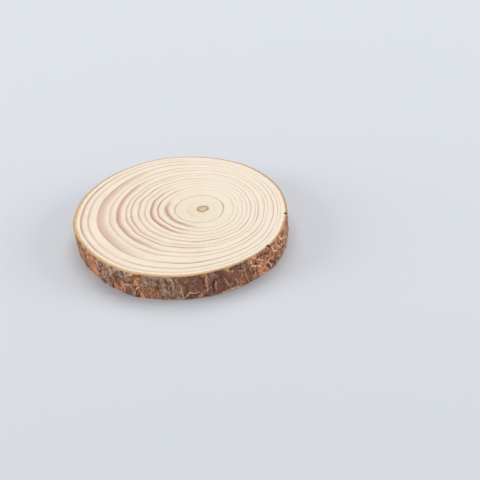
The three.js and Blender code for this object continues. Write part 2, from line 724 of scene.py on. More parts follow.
@dataclass
class WoodDisc:
    """The disc of wood, with a row of points at each ring.

    Attributes:
        trunk: the trunk that it was sawn from.
        rings: its growth rings.
        look: its finish.
        columns: how many points go round.
        dip: how far sanding wore the soft early wood below the late wood, in millimetres.
        flat_rim: the share of the way next to the bark in which the wood stays flush with it.
        pith_dip: how far the soft pith sank, in millimetres.
    """

    trunk: Trunk
    rings: GrowthRings = field(default_factory=GrowthRings)
    look: WoodFinish = field(default_factory=WoodFinish)
    columns: int = 400
    dip: float = 0.04
    flat_rim: float = 0.03
    pith_dip: float = 0.15

    def build(self) -> bpy.types.Object:
        """Models the disc and dresses it.

        Returns:
            The piece, riding on the slice's body.
        """
        trunk = self.trunk
        rows = [share * trunk.wood_radius for share in self.rings.rows()]
        profile = [(row, trunk.thickness) for row in rows] + [(row, 0.0) for row in reversed(rows)]
        made = spun(profile, self.columns)
        self.carve(made)
        pith = (trunk.middle().xy + trunk.pith) * MM
        piece = shown(made, "wood_disc", self.look.material(pith))
        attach(piece, "root")
        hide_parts("wood")
        return piece

    def carve(self, made: bmesh.types.BMesh) -> None:
        """Moves each point to its ring, and notes how the wood looks there.

        Args:
            made: the spun disc, in millimetres.
        """
        rings = self.rings
        names = ("growth", "wide", "line", "band", "pith", "pith_edge")
        notes = {name: made.verts.layers.float.new(name) for name in names}
        middle = self.trunk.middle()
        for point in made.verts:
            share = point.co.xy.length / self.trunk.wood_radius
            place, bearing = self.on_ring(share, math.atan2(point.co.y, point.co.x), point.co.z)
            line, band = rings.shade(share, bearing)
            pith = 1 - ease(share, rings.pith_reach, rings.pith_reach + rings.pith_edge)
            rim = bell(abs(share - rings.pith_reach), rings.pith_edge)
            sunk = self.dip * (1 - line) * ease(1 - share, 0.0, self.flat_rim) + self.pith_dip * pith
            up = 1 if point.co.z > self.trunk.thickness / 2 else -1
            point.co = (place + middle - Vector((0, 0, up * sunk))) * MM
            wide = rings.facing(bearing, rings.wide_bearing)
            for name, value in zip(names, (share, wide, line, band, pith, rim)):
                point[notes[name]] = value

    def on_ring(self, share: float, bearing: float, z: float) -> tuple[Vector, float]:
        """Finds a place on a ring.

        Args:
            share: the ring's mean reach.
            bearing: the direction from the middle of the slice.
            z: the height of the face.

        Returns:
            The place in millimetres, and its direction from the pith.
        """
        rings = self.rings
        pith = Vector((*self.trunk.pith, z))
        ray = self.trunk.place(bearing, z) - pith
        turn = math.atan2(ray.y, ray.x)
        grown = (share + rings.drift(share, turn)) * ray.length
        lobes = sum(wave.at(turn) for wave in rings.pith_lobes)
        lobes *= 1 - ease(share, rings.pith_reach, 2 * rings.pith_reach)
        near = share * self.trunk.wood_radius * (1 + lobes)
        reach = near + (grown - near) * ease(share, rings.pith_reach, rings.round_reach)
        return pith + ray.normalized() * reach, turn


class Tone(Enum):
    """The tones of bark: its level, calm, streak and lips.

    The level is the layer that shows, in flakes from the mean: red lies deep, grey has weathered. The
    others run from 0 to 1: how smooth the bark is, how fibrous, and how pale the edges of its flakes.
    """

    PEACH = (-2.5, 0.5, 0.3, 0.6)
    ORANGE = (-2.2, 0.5, 0.4, 0.3)
    RUST = (-2.0, 0.6, 0.5, 0.3)
    ROSE = (-2.2, 0.2, 0.3, 1.0)
    RED = (-1.4, 0.4, 0.35, 0.4)
    PINK = (-1.2, 0.0, 0.3, 1.0)
    RUSSET = (-0.8, 0.8, 0.25, 0.2)
    PURPLE = (-0.4, 0.9, 0.15, 0.1)
    BROWN = (0.5, 0.2, 0.6, 0.4)
    GREY = (1.3, 0.2, 0.75, 0.5)
    DARK = (2.4, 0.2, 0.6, 0.5)


class Mark(Enum):
    """The lines in bark: how far each stands out, in millimetres, and how pale and how dark it is; in
    the sunk ones that dark is partly painted shade.
    """

    RIDGE = (0.20, 0.7, 0.0)
    VEIN = (0.06, 0.8, 0.0)
    CREAM = (0.12, 1.0, 0.0)
    SHADE = (-0.15, 0.0, 0.5)
    CLEFT = (-0.30, 0.0, 0.7)
    SLIT = (-0.60, 0.0, 1.0)
    DUSK = (0.0, 0.0, 0.26)


@dataclass(frozen=True)
class Patch:
    """A place where the bark has one tone.

    Attributes:
        tone: its tone.
        bearing: its middle, in degrees.
        share: its middle, as a share of the slice's thickness.
        wide: half its width, in degrees.
        tall: half its height, as a share of the thickness.
    """

    tone: Tone
    bearing: float
    share: float
    wide: float
    tall: float


@dataclass(frozen=True)
class Seam:
    """A line in the bark.

    Attributes:
        mark: what it is.
        width: half its width, in millimetres.
        route: its points, as degrees and shares of the thickness.
    """

    mark: Mark
    width: float
    route: tuple[tuple[float, float], ...]


@dataclass(frozen=True)
class Hollow:
    """A stretch where the bark is thinner.

    Attributes:
        bearing: its middle, in degrees.
        wide: half its width, in degrees.
        depth: how much thinner the bark is in its middle, in millimetres.
    """

    bearing: float
    wide: float
    depth: float

    def at(self, bearing: float) -> float:
        """How much thinner the bark is in a direction, in millimetres."""
        off = abs(between(bearing, math.radians(self.bearing)))
        return self.depth * bell(off, math.radians(self.wide))


@dataclass(frozen=True)
class BarkSpot:
    """The bark at one place.

    Attributes:
        thickness: from the wood to the outside, in millimetres.
        level: the layer that shows there, from the mean.
        fibre: how far a fibre stands out there, about 0.
        lip: how near the place is to a flake's pale edge.
        crack: how far down a crack between flakes it is, as the dark painted there: partly its own and
            partly painted shade.
        slit: how far down a dark line it is; that dark is partly painted shade where the line is sunk.
        vein: how near it is to a pale line.
        rough: how rough it is, from 0 to 1.
    """

    thickness: float
    level: float
    fibre: float
    lip: float
    crack: float
    slit: float
    vein: float
    rough: float


def chance(column: int, row: int, trait: int) -> float:
    """A repeatable random number.

    Args:
        column: a plate's column.
        row: its row.
        trait: which of its traits is asked for.

    Returns:
        A number from 0 to 1.
    """
    mixed = math.sin(column * 12.9898 + row * 78.233 + trait * 37.719) * 43758.5453
    return mixed - math.floor(mixed)


@dataclass(frozen=True)
class BarkPlates:
    """The bark's plates, in staggered columns round the trunk, in millimetres.

    Attributes:
        columns: how many there are round the trunk.
        height: one row's pitch along the trunk.
        stretch: how much longer a plate is along the trunk than round it, inverted.
        jitter: how far a plate's middle strays, as a share of its cell.
        step: the most that two plates' heights differ.
        curl: the rise per millimetre across a plate that lifts at one side.
        furrow_width: from a furrow's bottom to the flat of the plate.
        furrow_depth: how deep a furrow is.
        wander: how far the plates' edges stray from straight lines.
        aside: how they stray round the trunk: the turn and the rise of that wave, and its start.
        upward: how they stray along the trunk, in the same way.
    """

    columns: int = 26
    height: float = 9.5
    stretch: float = 0.7
    jitter: float = 0.76
    step: float = 0.6
    curl: float = 0.04
    furrow_width: float = 1.0
    furrow_depth: float = 0.5
    wander: float = 0.9
    aside: tuple[float, float, float] = (9.0, 0.9, 0.0)
    upward: tuple[float, float, float] = (16.0, -0.7, 2.1)

    def stray(self, bearing: float, z: float, wave: tuple[float, float, float]) -> float:
        """How far the plates' edges stray at a place.

        Args:
            bearing: the direction from the middle of the slice.
            z: the height above the lower face.
            wave: the turn, the rise and the start of the wave.

        Returns:
            The shift in millimetres.
        """
        turn, rise, start = wave
        return self.wander * math.sin(turn * bearing + rise * z + start)

    def relief(self, bearing: float, z: float, radius: float) -> tuple[float, float]:
        """How far the plates stand out at a place.

        Args:
            bearing: the direction from the middle of the slice.
            z: the height above the lower face.
            radius: the trunk's radius over the bark.

        Returns:
            The relief in millimetres, and the way to the nearest plate's edge.
        """
        width = 2 * math.pi * radius / self.columns
        along = bearing / (2 * math.pi) * self.columns + self.stray(bearing, z, self.aside) / width
        high = z + self.stray(bearing, z, self.upward)
        plates = []
        for cell in range(math.floor(along) - 1, math.floor(along) + 2):
            column = cell % self.columns
            up = high / self.height + (column % 2) / 2
            for row in range(math.floor(up) - 1, math.floor(up) + 2):
                across = (along - cell - 0.5 - self.jitter * (chance(column, row, 1) - 0.5)) * width
                rise = (up - row - 0.5 - self.jitter * (chance(column, row, 2) - 0.5)) * self.height
                plates.append((math.hypot(across, rise * self.stretch), across, column, row))
        plates.sort()
        (near, across, column, row), (far, *_) = plates[:2]
        lifted = math.copysign(self.curl * across, across * (chance(column, row, 4) - 0.5))
        flat = ease(far - near, 0.0, self.furrow_width)
        stand = self.step * (chance(column, row, 3) - 0.5) + lifted
        return stand * flat - self.furrow_depth * (1 - flat), far - near


@dataclass(frozen=True)
class BarkSkin:
    """The outside of the bark: plates, the thin flakes that break off them, and its lines.

    Attributes:
        trunk: the trunk that it grew on.
        plates: its plates.
        plate_share: how much of the plates' relief is left, once the flakes lie over it.
        blotch: the size of the broad changes of tone, in millimetres.
        blotch_level: how far they change the level.
        speck: the size of the small ones.
        speck_level: how far those change the level of a patch.
        speck_shift: keeps the small changes apart from the broad ones.
        squat: how much both are stretched along the trunk, inverted.
        mean_level: the level about which they lie, where there is no patch.
        calm_span: the broad change over which such bark goes from rough to smooth.
        streak_span: the small change over which it goes from plain to fibrous.
        lips_span: the broad change, turned round, over which its flakes get pale edges.
        patch_fade: where a patch starts to fade and where it ends, in its half widths.
        flake: the thickness of one layer of flakes, in millimetres.
        flake_level: how far a flake's own height changes the level.
        level_stand: how far a level stands out, in layers of flakes.
        flake_size: the width of a flake, in millimetres.
        flake_squat: how much it is stretched along the trunk, inverted.
        flake_hop: spreads the flakes' middles, so that each takes a random height of its own.
        flake_gap: the width of the crack round a flake, as a share of its size.
        flake_dark: how dark that crack is, with its own dark and painted shade.
        flake_lip: the width of its pale edge, as a share of its size.
        split: the width of the dark bottom of a furrow between plates, in millimetres, darkened for its
            own dark and for painted shade.
        split_size: the length of a stretch in which it is dark, in millimetres.
        split_span: the random change over which it goes from plain to dark.
        split_dark: how dark it is there, own dark and painted shade together.
        fibre: how far the fibres stand out, in millimetres.
        fibre_width: the distance between fibres, in millimetres.
        fibre_length: their length, in millimetres.
        fibre_lean: how far the fibres lean from upright, at most.
        lean_size: the width of a stretch in which they lean one way, in millimetres.
        fine_fibre: how strong the finer fibres between them are, as a share.
        fine_pitch: how many times closer those lie.
        rag: how far the edges of plates and flakes are torn, in millimetres.
        rag_size: the size of the tears, in millimetres.
        fine_rag: how strong the finer tears are, as a share.
        fine_rag_size: their size, in millimetres.
        line_rag: the share of those tears that the lines follow.
        line_swell: how far the lines' width varies, as a share.
        swell_size: the length over which it varies, in millimetres.
        line_core: the share of a line's width in which it is full.
        line_margin: how far past its ends a line is looked for, in millimetres.
        rim_trim: the share of the relief that sanding took off at the upper rim.
        rim_depth: how far down the rim it reaches, in millimetres.
        rim_round: how far the rims are rounded, in millimetres.
        rim_wear: how far down the upper rim the rounding reaches, in millimetres.
        foot_wear: how far up the lower rim it reaches.
        rim_stand: how far the upper rim stands out past the bark's mean thickness, in millimetres.
        foot_stand: how far the lower rim does.
        hollows: where the bark is thinner.
        thinnest: the least thickness of the bark, in millimetres.
        patches: the tones of the front.
        seams: the lines of the front.
    """

    trunk: Trunk
    plates: BarkPlates = field(default_factory=BarkPlates)
    plate_share: float = 0.7
    blotch: float = 6.3
    blotch_level: float = 2.4
    speck: float = 2.7
    speck_level: float = 0.5
    speck_shift: Vector = Vector((9.0, 4.0, 7.0))
    squat: float = 0.62
    mean_level: float = -0.4
    calm_span: Span = (0.0, 0.6)
    streak_span: Span = (-0.5, 0.4)
    lips_span: Span = (0.0, 0.5)
    patch_fade: Span = (0.7, 1.3)
    flake: float = 0.12
    flake_level: float = 0.8
    level_stand: float = 0.5
    flake_size: float = 2.6
    flake_squat: float = 0.7
    flake_hop: float = 9.7
    flake_gap: float = 0.13
    flake_dark: float = 0.6
    flake_lip: float = 0.42
    split: float = 0.5
    split_size: float = 7.0
    split_span: Span = (-0.1, 0.3)
    split_dark: float = 0.7
    fibre: float = 0.12
    fibre_width: float = 0.8
    fibre_length: float = 7.0
    fibre_lean: float = 0.6
    lean_size: float = 8.0
    fine_fibre: float = 0.6
    fine_pitch: float = 2.3
    rag: float = 0.5
    rag_size: float = 1.6
    fine_rag: float = 0.5
    fine_rag_size: float = 0.7
    line_rag: float = 0.6
    line_swell: float = 0.6
    swell_size: float = 1.5
    line_core: float = 0.4
    line_margin: float = 8.0
    rim_trim: float = 0.78
    rim_depth: float = 1.8
    rim_round: float = 0.12
    rim_wear: float = 0.5
    foot_wear: float = 0.4
    rim_stand: float = 0.2
    foot_stand: float = 0.35
    hollows: tuple[Hollow, ...] = (Hollow(100.0, 85.0, 0.7), Hollow(-148.0, 34.0, 0.4))
    thinnest: float = 0.35
    patches: tuple[Patch, ...] = (
        Patch(Tone.BROWN, -164.0, 0.60, 8.0, 0.80),
        Patch(Tone.RUST, -148.0, 0.40, 7.5, 0.70),
        Patch(Tone.ORANGE, -143.0, 0.20, 3.0, 0.35),
        Patch(Tone.DARK, -137.6, 0.45, 2.6, 0.60),
        Patch(Tone.BROWN, -131.0, 0.50, 5.0, 0.70),
        Patch(Tone.DARK, -130.5, 0.35, 1.2, 0.22),
        Patch(Tone.ORANGE, -127.8, 0.12, 2.5, 0.18),
        Patch(Tone.DARK, -122.5, 0.84, 4.5, 0.20),
        Patch(Tone.ORANGE, -123.0, 0.35, 2.6, 0.22),
        Patch(Tone.PURPLE, -118.0, 0.22, 2.5, 0.18),
        Patch(Tone.DARK, -117.5, 0.70, 1.5, 0.10),
        Patch(Tone.RUST, -113.5, 0.72, 2.5, 0.20),
        Patch(Tone.DARK, -109.8, 0.75, 1.4, 0.12),
        Patch(Tone.BROWN, -107.5, 0.62, 4.5, 0.16),
        Patch(Tone.ROSE, -107.0, 0.20, 6.5, 0.34),
        Patch(Tone.GREY, -105.0, 0.80, 5.0, 0.25),
        Patch(Tone.GREY, -96.0, 0.50, 5.0, 0.60),
        Patch(Tone.PURPLE, -85.0, 0.60, 7.0, 0.50),
        Patch(Tone.PURPLE, -76.0, 0.60, 2.0, 0.60),
        Patch(Tone.DARK, -75.3, 0.18, 1.2, 0.25),
        Patch(Tone.RUSSET, -69.0, 0.45, 4.8, 0.60),
        Patch(Tone.RUSSET, -61.0, 0.55, 3.5, 0.30),
        Patch(Tone.DARK, -60.0, 0.91, 5.0, 0.08),
        Patch(Tone.RED, -55.5, 0.30, 4.0, 0.35),
        Patch(Tone.PINK, -49.0, 0.70, 6.0, 0.40),
        Patch(Tone.PEACH, -43.5, 0.28, 4.6, 0.34),
        Patch(Tone.PINK, -32.0, 0.60, 11.0, 0.60),
        Patch(Tone.RUSSET, -38.6, 0.24, 1.6, 0.16),
        Patch(Tone.RUSSET, -34.6, 0.22, 2.0, 0.18),
        Patch(Tone.RUSSET, -30.4, 0.24, 1.8, 0.16),
        Patch(Tone.BROWN, -16.0, 0.50, 7.0, 0.60),
    )
    seams: tuple[Seam, ...] = (
        Seam(Mark.SHADE, 0.40, ((-155.5, 0.45), (-150.0, 0.78))),
        Seam(Mark.VEIN, 0.30, ((-139.8, 0.70), (-138.3, 0.52))),
        Seam(Mark.RIDGE, 0.45, ((-134.0, 0.75), (-133.8, 0.40))),
        Seam(Mark.RIDGE, 0.35, ((-132.6, 0.40), (-132.9, 0.03))),
        Seam(Mark.VEIN, 0.35, ((-128.0, 0.48), (-128.3, 0.20))),
        Seam(Mark.SHADE, 0.40, ((-127.0, 0.66), (-122.0, 0.60), (-118.0, 0.54))),
        Seam(Mark.VEIN, 0.25, ((-122.8, 0.72), (-121.6, 0.76))),
        Seam(Mark.CREAM, 0.50, ((-118.3, 0.92), (-115.8, 0.94))),
        Seam(Mark.RIDGE, 0.45, ((-121.0, 0.42), (-115.5, 0.50), (-111.0, 0.57))),
        Seam(Mark.VEIN, 0.30, ((-124.2, 0.22), (-124.0, 0.08))),
        Seam(Mark.VEIN, 0.25, ((-123.3, 0.28), (-121.8, 0.40))),
        Seam(Mark.SHADE, 0.35, ((-115.0, 0.12), (-113.0, 0.40))),
        Seam(Mark.CREAM, 0.40, ((-116.3, 0.03), (-114.4, 0.34), (-112.8, 0.44))),
        Seam(Mark.VEIN, 0.30, ((-112.0, 0.47), (-108.5, 0.55))),
        Seam(Mark.VEIN, 0.28, ((-99.6, 0.66), (-95.8, 0.08))),
        Seam(Mark.VEIN, 0.22, ((-100.5, 0.55), (-98.8, 0.12))),
        Seam(Mark.SHADE, 0.35, ((-97.2, 0.82), (-96.4, 0.68))),
        Seam(Mark.VEIN, 0.25, ((-90.6, 0.62), (-90.2, 0.05))),
        Seam(Mark.CREAM, 0.34, ((-98.0, 0.03), (-90.3, 0.05), (-87.6, 0.20), (-86.4, 0.31),
                                (-84.2, 0.28))),
        Seam(Mark.VEIN, 0.30, ((-84.2, 0.28), (-81.0, 0.31))),
        Seam(Mark.RIDGE, 0.55, ((-77.2, 1.00), (-77.5, 0.35))),
        Seam(Mark.RIDGE, 1.00, ((-78.6, 0.32), (-81.2, 0.08))),
        Seam(Mark.SHADE, 0.25, ((-77.0, 0.95), (-71.5, 0.94))),
        Seam(Mark.CLEFT, 0.45, ((-73.0, 0.62), (-74.1, 0.42), (-74.3, 0.12))),
        Seam(Mark.VEIN, 0.30, ((-72.4, 0.58), (-72.7, 0.25))),
        Seam(Mark.DUSK, 5.0, ((-70.0, 0.70), (-68.5, 0.30))),
        Seam(Mark.VEIN, 0.25, ((-67.9, 0.62), (-66.2, 0.35), (-64.0, 0.06))),
        Seam(Mark.CREAM, 0.45, ((-69.5, 0.02), (-64.3, 0.06), (-59.0, 0.06))),
        Seam(Mark.CREAM, 0.40, ((-65.6, 0.93), (-65.3, 0.84))),
        Seam(Mark.CREAM, 0.35, ((-63.4, 0.79), (-62.6, 0.78))),
        Seam(Mark.SLIT, 0.45, ((-64.0, 0.91), (-60.5, 0.89))),
        Seam(Mark.SHADE, 0.50, ((-60.5, 0.90), (-55.0, 0.89))),
        Seam(Mark.DUSK, 4.0, ((-58.0, 0.60), (-55.0, 0.30))),
        Seam(Mark.VEIN, 0.25, ((-61.6, 0.42), (-60.0, 0.20))),
        Seam(Mark.VEIN, 0.25, ((-59.5, 0.72), (-56.5, 0.60), (-55.6, 0.62))),
        Seam(Mark.VEIN, 0.28, ((-55.6, 0.62), (-54.0, 0.10))),
        Seam(Mark.CREAM, 0.42, ((-51.0, 0.86), (-51.0, 0.66), (-49.4, 0.57), (-46.6, 0.50),
                                (-45.5, 0.44))),
        Seam(Mark.CREAM, 0.40, ((-50.0, 0.97), (-45.6, 0.72), (-43.6, 0.62))),
        Seam(Mark.CREAM, 0.40, ((-46.0, 0.05), (-40.0, 0.06))),
        Seam(Mark.CREAM, 0.35, ((-41.0, 0.46), (-38.6, 0.30), (-37.0, 0.10))),
        Seam(Mark.SLIT, 0.72, ((-37.7, 1.00), (-36.8, 0.93))),
        Seam(Mark.CREAM, 0.42, ((-36.2, 0.92), (-34.0, 0.65), (-31.0, 0.50))),
        Seam(Mark.VEIN, 0.40, ((-38.0, 0.45), (-33.0, 0.35), (-28.0, 0.15))),
        Seam(Mark.VEIN, 0.35, ((-31.0, 0.80), (-27.0, 0.45), (-22.0, 0.40))),
        Seam(Mark.CLEFT, 0.55, ((-47.5, 0.82), (-44.5, 0.86))),
        Seam(Mark.SHADE, 0.45, ((-48.5, 0.42), (-47.6, 0.18))),
        Seam(Mark.CLEFT, 0.55, ((-41.0, 0.80), (-38.5, 0.68))),
        Seam(Mark.CLEFT, 0.65, ((-39.6, 0.32), (-38.4, 0.16))),
        Seam(Mark.CLEFT, 0.75, ((-36.8, 0.30), (-34.2, 0.14))),
        Seam(Mark.CLEFT, 0.65, ((-33.0, 0.34), (-30.5, 0.20))),
        Seam(Mark.CLEFT, 0.55, ((-29.5, 0.74), (-26.0, 0.56))),
        Seam(Mark.CLEFT, 0.65, ((-23.0, 0.32), (-20.0, 0.20))),
        Seam(Mark.CREAM, 0.40, ((-27.0, 0.92), (-24.0, 0.70), (-19.0, 0.55))),
        Seam(Mark.SLIT, 0.52, ((-6.8, 1.00), (-6.2, 0.95))),
    )

    @cached_property
    def tracks(self) -> list[tuple[Seam, list[Vector]]]:
        """Unrolls the lines.

        Returns:
            Each line with its points: the way round the trunk, and the height, in millimetres.
        """
        radius, thickness = self.trunk.radius, self.trunk.thickness
        return [(seam, [Vector((math.radians(degrees) * radius, share * thickness))
                        for degrees, share in seam.route]) for seam in self.seams]

    def at(self, bearing: float, z: float) -> BarkSpot:
        """Works the bark out at a place.

        Args:
            bearing: the direction from the middle of the slice.
            z: the height above the lower face.

        Returns:
            What the bark is like there.
        """
        radius, thickness = self.trunk.radius, self.trunk.thickness
        spot = self.on_trunk(bearing, z)
        torn = noise.noise_vector(spot / self.rag_size)
        torn += self.fine_rag * noise.noise_vector(spot / self.fine_rag_size)
        torn *= self.rag
        along, up = bearing + torn.x / radius, z + torn.y
        level, calm, streak, lips = self.traits(spot + torn, along, up)
        plate, to_edge = self.plates.relief(along, up, radius)
        chip, lip, crack = self.flaked(spot + torn, 1 - calm)
        swollen = 1 + self.line_swell * noise.noise(spot / self.swell_size)
        stand, vein, slit = self.lines(bearing + self.line_rag * torn.x / radius,
                                       z + self.line_rag * torn.y, swollen)
        fibre = streak * self.fibres(along, z, spot)
        relief = self.plate_share * plate + self.flake * (chip + self.level_stand * level - crack)
        relief += self.fibre * fibre + stand
        trim = self.rim_trim * ease(z, thickness - self.rim_depth, thickness)
        worn = max(ease(z, thickness - self.rim_wear, thickness), ease(-z, -self.foot_wear, 0.0))
        swell = self.foot_stand + (self.rim_stand - self.foot_stand) * z / thickness
        swell -= sum(hollow.at(bearing) for hollow in self.hollows)
        outside = self.trunk.bark + swell + relief * (1 - trim) - self.rim_round * worn * worn
        # The dark of furrows and cracks: partly their own, partly painted shade in these recesses
        split = bell(to_edge, self.split) * ease(noise.noise(spot / self.split_size), *self.split_span)
        crack = max(self.split_dark * split, self.flake_dark * crack) * (1 - trim)
        return BarkSpot(max(outside, self.thinnest), level + self.flake_level * chip, fibre, lip * lips,
                        crack, slit, vein, 1 - calm)

    def on_trunk(self, bearing: float, z: float) -> Vector:
        """The place on a round trunk at a bearing and a height, in millimetres."""
        return Vector((self.trunk.radius * math.cos(bearing), self.trunk.radius * math.sin(bearing), z))

    def traits(self, spot: Vector, bearing: float, z: float) -> Vector:
        """Which tone the bark has at a place.

        Args:
            spot: the place on a round trunk, in millimetres.
            bearing: its direction.
            z: its height.

        Returns:
            Its level, calm, streak and lips.
        """
        upright = Vector((spot.x, spot.y, spot.z * self.squat))
        broad = noise.noise(upright / self.blotch)
        small = noise.noise(upright / self.speck + self.speck_shift)
        level = self.blotch_level * broad + small + self.mean_level
        traits = Vector((level, ease(broad, *self.calm_span), ease(small, *self.streak_span),
                         ease(-broad, *self.lips_span)))
        for patch in self.patches:
            wide = between(bearing, math.radians(patch.bearing)) / math.radians(patch.wide)
            if abs(wide) < self.patch_fade[1]:
                tall = (z / self.trunk.thickness - patch.share) / patch.tall
                held = 1 - ease(math.hypot(wide, tall), *self.patch_fade)
                traits = traits.lerp(Vector(patch.tone.value), held)
        traits.x += self.speck_level * small
        return traits

    def flaked(self, spot: Vector, rough: float) -> tuple[float, float, float]:
        """What the flakes do at a place.

        Args:
            spot: the place, in millimetres.
            rough: how rough the bark is there, from 0 to 1.

        Returns:
            How far the flake stands out in layers, and how near its pale edge and a crack are.
        """
        upright = Vector((spot.x, spot.y, spot.z * self.flake_squat))
        ways, middles = noise.voronoi(upright / self.flake_size)
        own, other = (noise.cell(middle * self.flake_hop) for middle in middles[:2])
        to_edge = ways[1] - ways[0]
        crack = bell(to_edge, self.flake_gap) * rough
        lip = bell(to_edge, self.flake_lip) * rough if own > other else 0.0
        return own * rough, lip, crack

    def fibres(self, bearing: float, z: float, spot: Vector) -> float:
        """How far a fibre stands out at a place, about 0.

        Args:
            bearing: its direction.
            z: its height.
            spot: the place on a round trunk, in millimetres.

        Returns:
            A number from about -1 to 1.
        """
        lean = self.fibre_lean * noise.noise(spot / self.lean_size)
        strand = self.on_trunk(bearing + lean * z / self.trunk.radius, 0.0) / self.fibre_width
        strand.z = z / self.fibre_length
        return noise.noise(strand) + self.fine_fibre * noise.noise(self.fine_pitch * strand)

    def lines(self, bearing: float, z: float, swell: float) -> tuple[float, float, float]:
        """What the bark's lines do at a place.

        Args:
            bearing: its direction.
            z: its height.
            swell: how wide the lines are there, as a share of their mean width.

        Returns:
            How far they stand out in millimetres, and how near a pale line and a dark one are.
        """
        here = Vector((bearing * self.trunk.radius, z))
        stand, vein, slit = 0.0, 0.0, 0.0
        for seam, track in self.tracks:
            margin = seam.width + self.line_margin
            if track[0].x - margin < here.x < track[-1].x + margin:
                way = min(self.off_line(here, *pair) for pair in zip(track, track[1:]))
                near = 1 - ease(way / swell, self.line_core * seam.width, seam.width)
                height, pale, dark = seam.mark.value
                stand += height * near
                vein = max(vein, pale * near)
                slit = max(slit, dark * near)
        return stand, vein, slit

    @staticmethod
    def off_line(here: Vector, start: Vector, end: Vector) -> float:
        """The distance from a point to a straight stretch.

        Args:
            here: the point.
            start: the stretch's start.
            end: its end.

        Returns:
            The distance, in the units of the points.
        """
        way = end - start
        share = min(max((here - start).dot(way) / way.length_squared, 0.0), 1.0)
        return (here - start - way * share).length


